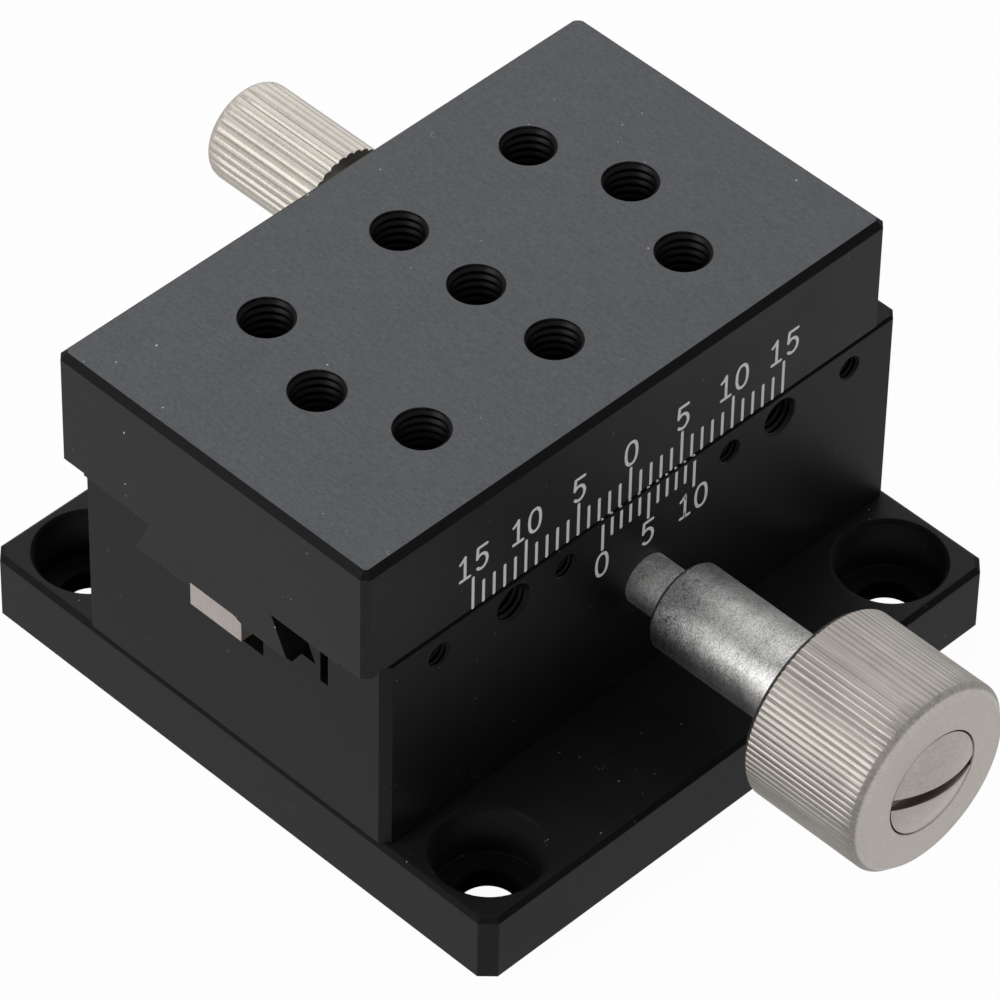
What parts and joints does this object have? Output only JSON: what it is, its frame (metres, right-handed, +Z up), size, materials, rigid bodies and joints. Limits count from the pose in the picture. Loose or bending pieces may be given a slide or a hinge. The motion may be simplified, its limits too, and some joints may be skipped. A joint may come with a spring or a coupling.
{
  "type": "rack and pinion stage",
  "caption": "Manual linear stage: a dovetail platform with threaded holes, driven by a rack and pinion from a side knob, with a clamp knob at the back and a drilled base plate.",
  "frame": {"origin": "centre of the base plate's underside", "axes": "+X along the platform's travel, -Y towards the drive knob, +Z up out of the platform's top face"},
  "size_m": [0.0519, 0.0753, 0.0335],
  "materials": {
    "anodised": "satin black anodised",
    "rack_steel": "satin",
    "shaft_steel": "satin",
    "screw_steel": "black oxide",
    "brass": "satin",
    "nickel": "satin nickel plate",
    "bush_black": "black bearing polymer"
  },
  "bodies": {
    "base": {"base_plate": "anodised", "body_block": "anodised", "front_bush": "bush_black", "rear_bush": "bush_black", "gib_set_screws": "screw_steel", "body_screws": "screw_steel", "travel_stop_pin": "shaft_steel"},
    "slide": {"slide_plate": "anodised", "rack": "rack_steel", "rack_screws": "screw_steel"},
    "drive": {"pinion": "brass", "pinion_shaft": "shaft_steel", "pinion_set_screw": "screw_steel", "thrust_washers": "shaft_steel", "knob_sleeve": "shaft_steel", "sleeve_set_screw": "screw_steel", "drive_knob": "nickel", "knob_end_screw": "nickel"},
    "pad": {"clamp_pad": "brass"},
    "clamp": {"clamp_screw": "shaft_steel", "clamp_knob": "nickel"}
  },
  "joints": [
    {"name": "travel", "type": "slide", "parent": "base", "child": "slide", "axis": [1, 0, 0], "range_m": [-0.0081, 0.0119]},
    {"name": "drive_turn", "type": "hinge", "parent": "base", "child": "drive", "pos_m": [0, 0, 0.01474], "axis": [0, 1, 0], "range_deg": [-103.2, 151.6]},
    {"name": "pad_slide", "type": "slide", "parent": "base", "child": "pad", "axis": [0, 1, 0], "range_m": [-0.00028, 0.001]},
    {"name": "clamp_turn", "type": "hinge", "parent": "pad", "child": "clamp", "pos_m": [0.007, 0.0097, 0.0214], "axis": [0, 1, 0], "range_deg": [-205.1, 720]}
  ],
  "couplings": [
    {"joint": "drive_turn", "follows": "travel", "rad_per_m": 222.22},
    {"joint": "clamp_turn", "follows": "pad_slide", "rad_per_m": 12566}
  ]
}
